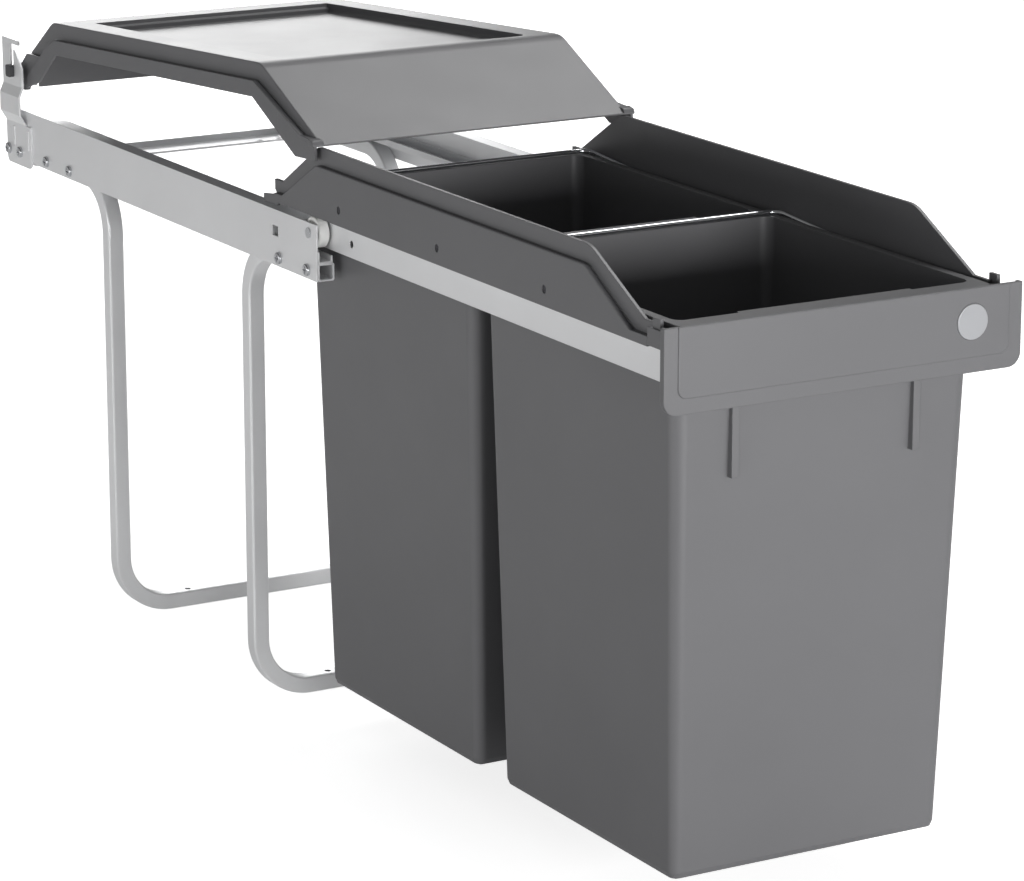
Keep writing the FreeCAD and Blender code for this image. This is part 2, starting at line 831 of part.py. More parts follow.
def drawer_rail(name, side):
    """Z-shaped rail: a low web beside the roller, a flange on it and a web in the panel."""
    body = new_body(f"drawer_rail_{name}", DRAWER_FRONT)
    top = "rail_flange + sheet"
    web_inside = "rail_web - sheet"
    add_side(body, side, web_inside, "rail_web", polygon(
        ("rail_front", "rail_low + rail_corner"),
        ("rail_front + rail_corner", "rail_low"),
        ("rail_rear - lobe_length - rail_nose", "rail_low"),
        ("rail_rear - lobe_length", "lobe_low"),
        ("rail_rear - rail_nose", "lobe_low"),
        ("rail_rear", "lobe_low + rail_nose"),
        ("rail_rear", top),
        ("rail_front + rail_corner", top),
        ("rail_front", f"{top} - rail_corner"),
    ))
    add_side(body, side, web_inside, "upper_web",
             box_outline("cheek_toe + cheek_round", "rail_rear", "rail_flange", top))
    low_top = "rail_flange + upper_web_step"
    rise = "(upper_web_top + 2 * ledge_thickness - ledge_low)"
    front_rise = "(ledge_top - ledge_low)"
    rear_rise = "(ledge_top - ledge_shoulder_drop - ledge_low)"
    add_side(body, side, "upper_web - sheet", "upper_web", polygon(
        ("upper_web_front", "rail_flange"),
        ("upper_web_rear", "rail_flange"),
        ("upper_web_rear", low_top),
        ("ledge_heel", low_top),
        (f"ledge_heel - {rise} * (ledge_heel - ledge_shoulder) / {rear_rise}",
         "upper_web_top"),
        (f"ledge_foot + {rise} * (ledge_head - ledge_foot) / {front_rise}", "upper_web_top"),
        ("ledge_foot + upper_web_step", low_top),
        ("upper_web_front", low_top),
    ))
    panel_screw_holes(body, side, "upper_web - 2 * sheet", "upper_web + sheet",
                      "panel_screw_radius + hole_clearance")
    cut_side(body, side, f"{web_inside} - sheet", "rail_web + sheet",
             circle("spare_hole_station", "spare_hole_height", "spare_hole / 2"))
    cut_side(body, side, f"{web_inside} - sheet", "rail_web + sheet",
             circle(REAR_AXLE_STATION, REAR_AXLE_HEIGHT, "axle_radius"))


def cross_bar(label, station):
    """Inverted channel on the flanges of both drawer rails, under the rims of the bins."""
    body = new_body(label, DRAWER_FRONT)
    front = f"{station} - bar_depth / 2"
    rear = f"{station} + bar_depth / 2"
    low = "rail_flange + sheet + bar_rim_gap"
    top = "bin_rim_low - bar_rim_gap"
    half = "rim_inside - bar_end_gap"
    add(body, "YZ", f"-({half})", half, polygon(
        (front, low), (front, top), (rear, top), (rear, low),
        (f"{rear} - sheet", low), (f"{rear} - sheet", f"{top} - sheet"),
        (f"{front} + sheet", f"{top} - sheet"), (f"{front} + sheet", low),
    ))


# Side panels and front panel of the drawer

def ledge_outline(drop):
    """Upper line of a side panel's ledge, lowered by a drop, from front to rear."""
    return [
        ("ledge_foot", f"ledge_low - {drop}"),
        ("ledge_head", f"ledge_top - {drop}"),
        ("ledge_tail", f"ledge_top - {drop}"),
        ("ledge_shoulder", f"ledge_top - ledge_shoulder_drop - {drop}"),
        ("ledge_heel", f"ledge_low - {drop}"),
    ]


def side_panel(name, side):
    """Moulding over the rail's upper web: an outer skirt, a ledge and a thin raised rim."""
    body = new_body(f"side_panel_{name}", DRAWER_FRONT)
    skirt_inside = "skirt_outside - moulding_wall"
    rear_flat = "skirt_rear + 3 * ledge_thickness"
    add_side(body, side, "rim_inside", "skirt_outside", polygon(
        ("skirt_front", "rim_foot"), ("skirt_front", "ledge_low"), *ledge_outline("0"),
        (rear_flat, "ledge_low"), (rear_flat, "rim_foot"),
    ))
    for corner in ("ledge_head", "ledge_tail"):
        station = value(corner)
        soften(body, "ledge_bend", lambda box, station=station: runs_along_x(box)
               and near(box.YMin, station) and near(box.ZMin, value("ledge_top")))
    soften(body, "ledge_round", lambda box: near(box.XLength, 0)
           and near(abs(box.XMin), value("skirt_outside"))
           and box.ZMax > value("ledge_low + ledge_thickness"))
    add_side(body, side, skirt_inside, "skirt_outside", polygon(
        ("skirt_front", "skirt_low"), ("skirt_front", "ledge_low - ledge_round"),
        (rear_flat, "ledge_low - ledge_round"), ("lug_end", "lug_top"), ("lug_end", "lug_low"),
        ("skirt_rear + ledge_thickness", "lug_low"), ("skirt_rear", "skirt_low"),
    ))
    cavity_rear = "skirt_rear + ledge_thickness"
    cut_side(body, side, RIM_OUTSIDE, skirt_inside, polygon(
        ("skirt_front - moulding_wall", "skirt_low"),
        ("skirt_front - moulding_wall", "ledge_low - ledge_thickness"),
        *ledge_outline("ledge_thickness"),
        (cavity_rear, "ledge_low - ledge_thickness"), (cavity_rear, "skirt_low"),
    ))
    side_panel_rim(body, side, rear_flat)
    groove = f"{RIM_OUTSIDE} + groove_ridge"
    cut_side(body, side, groove, f"{groove} + groove_width", polygon(
        *ledge_outline("groove_depth"), ("ledge_heel", "rim_top"), ("ledge_foot", "rim_top"),
    ))
    panel_screw_holes(body, side, skirt_inside, "skirt_outside",
                      "panel_screw_radius + hole_clearance")
    panel_screw_holes(body, side, "skirt_outside - panel_screw_sink", "skirt_outside",
                      "panel_screw_head")


def side_panel_rim(body, side, rear_flat):
    """Thin raised rim along the inner edge of a side panel, with rounded shoulders."""
    front_low = "cheek_top + web_slot_gap"
    add_side(body, side, "rim_inside", RIM_OUTSIDE, polygon(
        ("skirt_front", "rim_foot"), ("skirt_front", front_low),
        ("rim_front", front_low), ("rim_front", "rim_front_top"),
        ("rim_slope_foot", "rim_front_top"), ("rim_head", "rim_top"),
        ("rim_tail", "rim_top"), ("rim_heel", "rim_front_top"), ("rim_end", "rim_front_top"),
        ("rim_end", "rim_end_low"), (rear_flat, "rim_foot"),
    ))
    for corner in ("rim_head", "rim_tail"):
        station = value(corner)
        soften(body, f"{corner}_bend", lambda box, station=station: runs_along_x(box)
               and near(box.YMin, station) and near(box.ZMin, value("rim_top")))


def front_panel():
    """Tray-shaped front with a proud field, a rear shelf and a cheek at each end."""
    body = new_body("front_panel", DRAWER_FRONT)
    half = PANEL_HALF
    round_top = "panel_top + panel_corner"
    add(body, "XZ", "field_proud", "panel_depth", rounded_box(
        f"-({half})", half, "panel_low", round_top, "panel_corner"))
    cut(body, "XZ", "field_proud + panel_wall", "panel_depth", rounded_box(
        f"-({half}) + panel_wall", f"{half} - panel_wall",
        "panel_low + panel_wall", round_top, "panel_corner - panel_wall"))
    field = f"{half} - field_margin"
    add(body, "XZ", "0", "field_proud + panel_wall", rounded_box(
        f"-({field})", field, "panel_low + field_margin", round_top, "field_corner"))
    cut(body, "XZ", "0", "panel_depth", box_outline(
        f"-({half})", half, "panel_top", f"{round_top} + panel_corner"))
    soften(body, "field_edge", lambda box: near(box.YMax, 0))
    shelf = "rim_inside - shelf_gap"
    add(body, "XZ", "field_proud", "shelf_depth", box_outline(
        f"-({shelf})", shelf, "shelf_top - shelf_thickness", "shelf_top"))
    for side in SIDES.values():
        add_side(body, side, "rim_inside", "skirt_outside", polygon(
            ("field_proud + panel_wall / 2", "cheek_toe_low"), ("cheek_toe", "cheek_toe_low"),
            ("cheek_toe", "cheek_low"), ("cheek_rear", "cheek_low"),
            ("cheek_rear", "cheek_top"), ("field_proud + panel_wall / 2", "cheek_top"),
        ))
    soften(body, "cheek_round", lambda box: runs_along_x(box)
           and near(box.YMin, value("cheek_toe")) and near(box.ZMin, value("cheek_low")))
    for side in SIDES.values():
        cut_side(body, side, "upper_web - sheet - web_slot_gap", "upper_web + web_slot_gap",
                 box_outline("upper_web_front - web_slot_gap", "cheek_rear",
                             "cheek_toe_low", "rail_flange + upper_web_step + web_slot_gap"))
        add_side(body, side, "catch_side - catch_width / 2", "catch_side + catch_width / 2",
                 box_outline("catch_station - catch_length / 2",
                             "catch_station + catch_length / 2",
                             "cheek_top - moulding_wall", "cheek_top + catch_height"))
    cut(body, "XZ", "0", "badge_sink", circle(
        BADGE_SIDE, "badge_height", "badge_radius + badge_gap"))


def badge_blank():
    """Plain round disc sunk in the front panel."""
    body = new_body("badge_blank", DRAWER_FRONT)
    add(body, "XZ", "-badge_rise", "badge_sink", circle(
        BADGE_SIDE, "badge_height", "badge_radius"))
    soften(body, "badge_edge",
           lambda box: near(box.YMax, value("-badge_rise")) and near(box.YLength, 0))


# Bins and their bails

def bin_outline(half, front, rear, corner, inset):
    """Rounded outline of a bin, shrunk all round by an inset."""
    return rounded_box(f"-({half} - {inset})", f"{half} - {inset}", f"-({front} - {inset})",
                       f"{rear} - {inset}", f"{corner} - {inset}")


def bin_levels(wall, top):
    """Outlines of a bin, inside a wall, up its rounded foot edge and at its top."""
    levels = []
    radius = f"(bin_foot_round - {wall})"
    for rise, shrink in (("0", "1"), (HALF_TURN_DROP, HALF_TURN_DROP), ("1", "0")):
        outline = bin_outline(BIN_FOOT_HALF, "bin_foot_front", "bin_foot_rear",
                              "bin_foot_corner", f"({wall} + {shrink} * {radius})")
        levels.append((f"bin_low + {wall} + {rise} * {radius}", outline))
    levels.append((top, bin_outline(BIN_MOUTH_HALF, "bin_mouth_front", "bin_mouth_rear",
                                    "bin_mouth_corner", wall)))
    return levels


def waste_bin(label, station, front_reach):
    """Tapered bin with a flat rim, two ribs up its front and a boss for each bail end."""
    body = new_body(label, f"{DRAWER_FRONT} + {station}")
    mouth = BIN_MOUTH_HALF
    loft(body, "Additive", bin_levels("0", "bin_rim_low"))
    add(body, "XY", "bin_rim_low", BIN_TOP, rounded_box(
        f"-({BIN_RIM_HALF})", BIN_RIM_HALF,
        f"-(bin_rim_length / 2 + {front_reach})", "bin_rim_length / 2", "bin_rim_corner"))
    for side in SIDES.values():
        add_side(body, side, f"{mouth} - bin_wall", BOSS_SIDE,
                 box_outline("-boss_web", "boss_web", "pivot_height", "bin_rim_low + bin_rim / 2"))
        add_side(body, side, f"{mouth} - bin_wall", BOSS_SIDE,
                 circle("0", "pivot_height", "boss_radius"))
        left, right = side_span(side, "rib_side - rib_width / 2", "rib_side + rib_width / 2")
        add(body, "XZ", "-(bin_mouth_front + rib_reach)", "-(bin_foot_front + bin_wall)",
            box_outline(left, right, "rib_low", "bin_rim_low + bin_rim / 2"))
    loft(body, "Subtractive", bin_levels("bin_wall", BIN_TOP))
    add(body, "XY", "bin_rim_low", BIN_TOP, box_outline(
        "-grip_half", "grip_half", "-(bin_rim_length / 2)",
        "-(bin_mouth_front - bin_wall) + grip_depth"))
    for side in SIDES.values():
        cut_side(body, side, f"{BOSS_SIDE} - boss_bore_depth", BOSS_SIDE,
                 circle("0", "pivot_height", "wire_radius + running_fit"))


def bail(label, station):
    """Steel wire bail whose ends turn inward into the bosses of its bin."""
    radius = value("wire_radius")
    half = value(BAIL_HALF)
    reach = value("bail_reach")
    corner = value("bail_corner")
    pin_bend = value("bail_pin_bend")
    pin_end = value(BAIL_PIN_END)
    pin = half - pin_bend - pin_end
    section = [Part.Face(Part.Wire(Part.makeCircle(radius)))]
    inward = Vector(1, 0, 0)
    arm = reach - pin_bend - corner
    steps = [
        (pin,), (pin_bend, inward), (arm,), (corner, inward), (2 * (half - corner),),
        (corner, inward), (arm,), (pin_bend, inward), (pin,),
    ]
    heading = Rotation(Vector(0, 1, 0), Vector(0, 0, -1), Vector(-1, 0, 0), "ZXY")
    start = Placement(Vector(-pin_end, 0, 0), heading)
    place = Placement(
        Vector(0, value(f"{DRAWER_FRONT} + {station}"), value("pivot_height")),
        Rotation(Vector(1, 0, 0), value("bail_rest")))
    new_shape(label, bent_bar(section, steps, start), place)


# Hook brackets and cross strip

def lid_bracket(name, side):
    """Bent sheet hook that carries a bush of the lid in its open slot."""
    body = new_body(f"lid_bracket_{name}", FRAME_REAR)
    inner = PLATE_OUTSIDE
    outset = f"{inner} + bracket_outset"
    upper = f"{inner} + bracket_upper_outset"
    line = [
        (inner, "bracket_low"), (inner, "bracket_bend_low"), (outset, "bracket_bend_high"),
        (outset, "bracket_step_low"), (upper, "bracket_step_high"), (upper, "bracket_top"),
    ]
    sign = "" if side > 0 else "-"
    inside_line = [(f"{sign}({across})", up) for across, up in line]
    outside_line = [(f"{sign}({across} + bracket_sheet)", up) for across, up in reversed(line)]
    add(body, "XZ", "-bracket_depth", "0", polygon(*inside_line, *outside_line))
    pivot = f"lid_pivot_station - ({FRAME_REAR})"
    slot_front = f"{pivot} - slot_width / 2"
    slot_rear = f"{pivot} + slot_width / 2"
    cut_side(body, side, inner, f"{outset} + bracket_sheet", polygon(
        ("-bracket_depth", "bracket_waist"), ("-bracket_upper_front", "bracket_waist"),
        ("-bracket_upper_front", "ear_low"), ("-ear_nose", "ear_high"),
        (slot_front, "ear_high"), (slot_front, "lid_pivot_height"),
        (slot_rear, "lid_pivot_height"), (slot_rear, "hook_low"),
        ("-hook_reach", "hook_low"), ("-hook_reach", "bracket_top"),
        ("-bracket_depth", "bracket_top"),
    ))
    cut_side(body, side, inner, f"{outset} + bracket_sheet",
             circle(pivot, "lid_pivot_height", "slot_width / 2"))
    stations = ["-bracket_depth + stiffener_width",
                "-bracket_screw_station - stiffener_width / 2"]
    for station in stations:
        add_side(body, side, f"{inner} + bracket_sheet / 2",
                 f"{inner} + bracket_sheet + stiffener_rise",
                 box_outline(station, f"{station} + stiffener_width",
                             "stiffener_low", "stiffener_high"))
    for station in pair_about("-bracket_screw_station", "bracket_screw_pitch"):
        cut_side(body, side, inner, f"{inner} + bracket_sheet",
                 circle(station, TUBE_TOP_AXIS, "screw_radius + hole_clearance"))
    soften(body, "bracket_corner",
           lambda box: near(box.ZMin, value("bracket_low")) and near(box.ZLength, 0)
           and near(box.YLength, 0))


def rear_cross_strip():
    """Thin strip under the rear tube ends that keeps the two sides apart."""
    body = new_body("rear_cross_strip", f"{FRAME_REAR} - strip_setback")
    half = "frame_width / 2"
    under = "frame_height - tube_size"
    add(body, "XY", f"{under} - bracket_sheet", under,
        box_outline(f"-{half}", half, "-strip_depth", "0"))
    inner = f"{half} - tube_size"
    add(body, "XY", f"{under} - bracket_sheet", f"{under} - bracket_sheet + strip_upstand",
        box_outline(f"-({inner})", inner, "-bracket_sheet", "0"))
    for side in SIDES.values():
        for distance in ("strip_hole_inner", "strip_hole_outer"):
            cut(body, "XY", f"{under} - bracket_sheet", under,
                circle(f"{side} * {distance}", "-strip_depth + strip_hole_station",
                       "strip_hole / 2"))


# Lid

FRONT_SLOPE = "(lid_front - lid_front_bend) / (lid_top - lid_front_top)"


def front_slope_run(height, inset="0"):
    """Station of the lid's front slope, or of a line behind it, at a height."""
    return (f"-(lid_front_bend + (lid_top - ({height})) * {FRONT_SLOPE}"
            f" - {inset} * sqrt(1 + ({FRONT_SLOPE})^2))")


def seam_line(drop="0"):
    """Line where the lid's sides step out to the band, from rear to front."""
    return [
        ("-seam_rear", f"seam_rear_top - {drop}"),
        ("-seam_rise", f"seam_rise_top - {drop}"),
        ("-seam_level", f"seam_top - {drop}"),
        ("-seam_bend", f"seam_top - {drop}"),
        ("-seam_end", f"seam_end_top - {drop}"),
    ]


def lid_shell():
    """Cover with sloped front and rear, a recess on top, side bands and hinge ears."""
    body = new_body("lid_shell", "lid_pivot_station", "lid_pivot_height", "lid_tilt")
    add(body, "YZ", "-lid_half", "lid_half", polygon(
        ("-lid_rear", "seam_rear_top"), ("-lid_rear", "lid_rear_top"),
        ("-lid_rear_bend", "lid_top"), ("-lid_front_bend", "lid_top"),
        ("-lid_front", "lid_front_top"), ("-lid_front", "lid_front_foot"),
        ("-(seam_end + lid_wall)", "lid_front_foot"),
        *reversed(seam_line()[1:]),
    ))
    bends = (("lid_rear_radius", "-lid_rear_bend"), ("lid_front_radius", "-lid_front_bend"))
    for radius, station in bends:
        line = value(station)
        soften(body, radius, lambda box, line=line: runs_along_x(box)
               and near(box.YMin, line) and near(box.ZMin, value("lid_top")))
    soften(body, "lid_edge", lambda box: near(box.XLength, 0)
           and near(abs(box.XMin), value("lid_half"))
           and box.ZMax > value("seam_top + lid_wall"))
    lid_recess(body)
    cut(body, "YZ", "-(lid_half - lid_wall)", "lid_half - lid_wall", polygon(
        ("-(lid_rear + lid_wall)", "foot_low"),
        ("-(lid_rear + lid_wall)", "lid_rear_top - lid_wall"),
        ("-(lid_rear_bend - lid_wall)", LID_ROOF),
        (front_slope_run(LID_ROOF, "lid_wall"), LID_ROOF),
        (front_slope_run("foot_low", "lid_wall"), "foot_low"),
    ))
    wall_half = "rim_inside - rear_wall_gap"
    add(body, "XZ", "-(lid_rear + lid_wall)", "-lid_rear", box_outline(
        f"-({wall_half})", wall_half, "rear_wall_foot", "lid_rear_top - lid_wall"))
    for side in SIDES.values():
        lid_band(body, side)
        lid_lip(body, side)
        lid_ear(body, side)


def lid_recess(body):
    """Shallow recess in the lid's top with a small ridge across its rear end."""
    step_low = "lid_top - recess_step"
    step_rear = "recess_rear + recess_bevel"
    above = "lid_top + lid_wall"
    cut(body, "YZ", "-recess_half", "recess_half", polygon(
        ("-recess_rear", above), ("-recess_rear", "lid_top"), (f"-({step_rear})", step_low),
        (f"-({step_rear} + recess_ridge)", f"{step_low} - recess_ridge_fall"),
        (f"-({step_rear} + recess_ridge + recess_bevel)", RECESS_FLOOR),
        ("-recess_front", RECESS_FLOOR), ("-recess_front", above),
    ))
    soften(body, "recess_corner", lambda box: near(box.XLength + box.YLength, 0)
           and near(box.YMin, value("-recess_front")))
    soften(body, "recess_round", lambda box: near(box.ZLength, 0)
           and near(box.ZMin, value(RECESS_FLOOR)) and box.YMin < value("-recess_rear - lid_rear"))


def lid_band(body, side):
    """Band along one side of the lid: a grooved step outward and a thin wall under it."""
    add_side(body, side, "lid_half - lid_wall", "band_outside", polygon(
        *seam_line(), ("-(foot_toe - band_wall)", "foot_top"), ("-foot_toe", "foot_top - band_wall"),
        ("-foot_toe", "foot_low"), ("-foot_heel", "foot_low"),
        ("-band_bend", "band_foot"), ("-band_level", "band_foot"),
        ("-band_knee", "band_knee_foot"), ("-band_rear", "band_rear_foot"),
    ))
    cut_side(body, side, "lid_half - lid_wall", "band_outside - band_wall", polygon(
        ("-(band_rear - band_wall)", "seam_rear_top - band_wall"),
        *seam_line("band_wall"), ("-wing_root", "foot_top - band_wall"),
        ("-(foot_toe - band_wall)", "foot_top - band_wall"),
        ("-(foot_toe - band_wall)", "foot_low - band_wall"),
        ("-(band_rear - band_wall)", "foot_low - band_wall"),
    ))
    groove = "lid_half + groove_ridge"
    cut_side(body, side, groove, f"{groove} + groove_width", polygon(
        *seam_line("groove_depth"), ("-seam_end", "lid_top"), ("-seam_rear", "lid_top"),
    ))


def foot_head():
    """Line where the step of the band stands on a foot, from rear to front."""
    return [
        ("-foot_root", FOOT_ROOT_TOP),
        ("-seam_end", "seam_end_top - band_wall"),
        ("-wing_root", "foot_top - band_wall"),
    ]


def lid_lip(body, side):
    """Room for the foot under the front end of the band, and the lip over it."""
    beyond_toe = "-(foot_toe + band_wall)"
    cut_side(body, side, "lid_half - lid_wall", "band_outside", polygon(
        *foot_head(), (beyond_toe, "foot_top - band_wall"), (beyond_toe, "foot_low - band_wall"),
        ("-foot_root", "foot_low - band_wall"),
    ))
    add_side(body, side, "lid_half - lid_wall", "band_outside + wing_reach", polygon(
        ("-wing_root", "wing_root_top"), ("-wing_knee", "wing_knee_top"),
        ("-lid_front", "lid_front_top"), ("-lid_front", "lid_front_foot"),
        ("-wing_root", "lid_front_foot"),
    ))


def lid_foot(name, side):
    """Front end of a side band, which reaches down outside the rim of the side panel."""
    body = new_body(f"lid_foot_{name}", "lid_pivot_station", "lid_pivot_height", "lid_tilt")
    add_side(body, side, "band_outside - band_wall", "band_outside", polygon(
        *foot_head(), ("-wing_root", "lid_front_foot"), ("-foot_toe", "lid_front_foot"),
        ("-foot_toe", "foot_low"), ("-foot_heel", "foot_low"), ("-foot_root", FOOT_ROOT_LOW),
    ))


def lid_ear(body, side):
    """Ear at the rear end of the band with the bore for the bush."""
    add_side(body, side, "lid_half", "ear_outside", polygon(
        ("-ear_root", "ear_top"), ("-lid_rear", "ear_top"),
        ("-ear_round - bush_gap", "ear_crown"), ("ear_end - ear_round", "ear_crown"),
        ("ear_end", "0"), ("ear_end", "ear_bottom + ear_round"),
        ("ear_end - ear_round", "ear_bottom"), ("-2 * ear_round", "ear_bottom"),
        ("-band_rear", "band_rear_foot + lid_wall"),
        ("-lid_rear - ear_end", "band_rear_foot + lid_wall"), ("-ear_root", "ear_root_foot"),
    ))
    cut_side(body, side, "lid_half", "ear_outside",
             circle("0", "0", "bush_radius + running_fit"))


def lid_hinge_bushes():
    """Bushes in the lid's ears, each with a block that slides in the slot of a bracket."""
    solids = []
    bracket_inside = value(f"{PLATE_OUTSIDE} + bracket_upper_outset")
    bracket_outside = bracket_inside + value("bracket_sheet")
    gap = value("bush_gap")
    start = value("bush_start")
    head_end = value("lid_half") - gap
    collar_start = value("ear_outside") + gap
    collar_end = bracket_inside - gap
    pin_end = bracket_outside + gap + value("bush_tip")
    block = value("block_size")
    thickness = value("block_thickness")
    for side in SIDES.values():
        pin = cylinder_x(value("bush_radius"), side, start, pin_end - start)
        head = cylinder_x(value("bush_head_radius"), side, start, head_end - start)
        collar = cylinder_x(value("bush_head_radius"), side, collar_start, collar_end - collar_start)
        left = bracket_outside + gap if side > 0 else -bracket_outside - gap - thickness
        cap = Part.makeBox(thickness, block, block, Vector(left, -block / 2, -block / 2))
        upright = [edge for edge in cap.Edges if near(edge.BoundBox.XLength, thickness)]
        cap = cap.makeFillet(value("block_corner"), upright)
        solids.append(pin.fuse([head, collar, cap]).removeSplitter())
    place = Vector(0, value("lid_pivot_station"), value("lid_pivot_height"))
    new_shape("lid_hinge_bushes", Part.makeCompound(solids), Placement(place, Rotation()))


# Assembly

floor_tube("front_floor_tube", value("-leg_pitch / 2"), value("front_run"), False)
floor_tube("rear_floor_tube", value("leg_pitch / 2"), value("rear_run"), True)
rear_cross_strip()
for side_name, side_sign in SIDES.items():
    lid_foot(side_name, side_sign)
    rail_plate(side_name, side_sign)
    runner_channel(side_name, side_sign)
    lid_bracket(side_name, side_sign)
    drawer_rail(side_name, side_sign)
    side_panel(side_name, side_sign)
    roller(f"front_roller_{side_name}", side_sign,
           f"{FRAME_FRONT} + front_axle_station", FRONT_AXLE_HEIGHT)
    roller(f"rear_roller_{side_name}", side_sign,
           f"{DRAWER_FRONT} + {REAR_AXLE_STATION}", REAR_AXLE_HEIGHT)
front_axles()
rear_axles()
frame_screws()
panel_screws()
cross_bar("drawer_mid_bar", "mid_bar_station")
cross_bar("drawer_rear_bar", "rear_bar_station")
front_panel()
badge_blank()
waste_bin("front_bin", "bin_station", "front_rim_reach")
waste_bin("rear_bin", "bin_station + bin_pitch", "0")
bail("front_bail", "bin_station")
bail("rear_bail", "bin_station + bin_pitch")
lid_shell()
lid_hinge_bushes()
doc.recompute()

# Checks and export

for feature in doc.Objects:
    if "Invalid" in feature.State or "Error" in feature.State:
        raise RuntimeError(f"{feature.Name} did not compute: {feature.State}")
for piece in pieces:
    if piece.Shape.isNull() or not piece.Shape.isValid():
        raise RuntimeError(f"{piece.Label} has no valid shape")
    piece.Shape.exportStep(f"parts/{piece.Label}.step")
    box = piece.Shape.BoundBox
    print(f"{piece.Label}: {len(piece.Shape.Solids)} solids, "
          f"X {box.XMin:.1f} {box.XMax:.1f}, Y {box.YMin:.1f} {box.YMax:.1f}, "
          f"Z {box.ZMin:.1f} {box.ZMax:.1f}")
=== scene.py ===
import json
import math

import bpy
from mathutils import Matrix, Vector

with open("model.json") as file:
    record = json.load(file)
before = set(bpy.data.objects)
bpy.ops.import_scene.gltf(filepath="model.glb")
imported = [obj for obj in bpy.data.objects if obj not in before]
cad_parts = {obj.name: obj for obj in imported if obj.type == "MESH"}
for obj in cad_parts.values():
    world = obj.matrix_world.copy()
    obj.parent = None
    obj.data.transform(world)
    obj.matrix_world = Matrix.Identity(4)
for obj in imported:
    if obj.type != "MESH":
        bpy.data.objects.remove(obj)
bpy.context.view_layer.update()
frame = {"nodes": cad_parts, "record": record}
scene = bpy.context.scene

# Camera: picture width and focal length in pixels, sensor in millimetres, place in metres

IMAGE_WIDTH = 1024
FOCAL_PIXELS = 4177.5
SENSOR = 36.0
CAMERA_PLACE = Vector((-1.35133, -2.62699, 0.93160))
CAMERA_TURN = math.radians(29.811)
CAMERA_DOWN = math.radians(14.907)
CLIP_START = 0.05
CLIP_END = 100.0

# Floor: sizes and distances in metres, glow as seen near and far and as it lights the object

FLOOR_SIZE = 40.0
FLOOR_LEVEL = -0.0004
FLOOR_TONE = 0.86
FLOOR_ROUGHNESS = 0.9
FLOOR_GLOW_SEEN = 0.77
FLOOR_GLOW_FAR = 1.0
FLOOR_NEAR = 1.0
FLOOR_WHITE_FROM = 5.0
FLOOR_GLOW_CAST = 0.10

# Surroundings: strength at the horizon and overhead, reached at a height on the unit sphere

WORLD_AT_HORIZON = 0.33
WORLD_OVERHEAD = 0.11
WORLD_FADE_TOP = 0.6

# Lamps: place and target in metres, width and height in metres, power in watts

LAMPS = {
    "front": {"place": (0.15, -3.4, 0.50), "target": (0, -0.5, 0.3),
              "width": 1.8, "height": 0.6, "power": 72},
    "left": {"place": (-3.2, -0.6, 0.35), "target": (0, -0.3, 0.25),
             "width": 2.4, "height": 0.5, "power": 26},
    "back": {"place": (0.88, 2.60, 1.15), "target": (0, 0, 0.43),
             "width": 1.2, "height": 1.0, "power": 20},
    "sheen": {"place": (1.25, 0.41, 2.62), "target": (-0.05, -0.2, 0.42),
              "width": 1.3, "height": 1.3, "power": 34},
}

# Noise of the finishes: range of its values in use, patterns in a metre and levels of detail

NOISE_LOW = 0.3
NOISE_HIGH = 0.7
CLOUD_SCALE = 9.0
CLOUD_DETAIL = 4.0
SMUDGE_SCALE = 26.0
SMUDGE_DETAIL = 5.0
# Noise patches vary how strongly edges get the painted highlight and wear
WEAR_AND_HIGHLIGHT_SCALE = 60.0
WEAR_AND_HIGHLIGHT_DETAIL = 3.0
GRAIN_DETAIL = 2.0
GRAIN_STRENGTH = 0.35

# Edges: cosines to the flat normal where they are sharp and flat, least and most share of the
# lighter edge tone, which is a painted highlight and partly wear

EDGE_SAMPLES = 6
EDGE_SHARP = 0.72
EDGE_FLAT = 0.995
WEAR_AND_HIGHLIGHT_LEAST = 0.25
WEAR_AND_HIGHLIGHT_MOST = 0.95


# Helpers for node materials

def new_material(name):
    """Material with a principled shader; returns the material, its tree and the shader."""
    material = bpy.data.materials.new(name)
    material.use_nodes = True
    tree = material.node_tree
    return material, tree, tree.nodes["Principled BSDF"]


def noise(tree, scale, detail, stretch=(1, 1, 1)):
    """Noise over the piece's own coordinates, in metres, stretched per axis."""
    place = tree.nodes.new("ShaderNodeTexCoord")
    mapping = tree.nodes.new("ShaderNodeMapping")
    mapping.inputs["Scale"].default_value = stretch
    tree.links.new(place.outputs["Object"], mapping.inputs["Vector"])
    texture = tree.nodes.new("ShaderNodeTexNoise")
    texture.inputs["Scale"].default_value = scale
    texture.inputs["Detail"].default_value = detail
    tree.links.new(mapping.outputs["Vector"], texture.inputs["Vector"])
    return texture.outputs["Fac"]


def spread(tree, source, low, high, from_low=NOISE_LOW, from_high=NOISE_HIGH):
    """Maps a value from one range, by default that of noise, to another."""
    node = tree.nodes.new("ShaderNodeMapRange")
    node.inputs["From Min"].default_value = from_low
    node.inputs["From Max"].default_value = from_high
    node.inputs["To Min"].default_value = low
    node.inputs["To Max"].default_value = high
    tree.links.new(source, node.inputs["Value"])
    return node.outputs["Result"]


def mixed_colour(tree, factor, first, second):
    """Colour between two colours."""
    node = tree.nodes.new("ShaderNodeMix")
    node.data_type = "RGBA"
    node.inputs["A"].default_value = (*first, 1)
    node.inputs["B"].default_value = (*second, 1)
    tree.links.new(factor, node.inputs["Factor"])
    return node.outputs["Result"]


def rounded_normal(tree, radius):
    """Normal that turns softly over an edge within a radius."""
    bevel = tree.nodes.new("ShaderNodeBevel")
    bevel.samples = EDGE_SAMPLES
    bevel.inputs["Radius"].default_value = radius
    return bevel.outputs["Normal"]


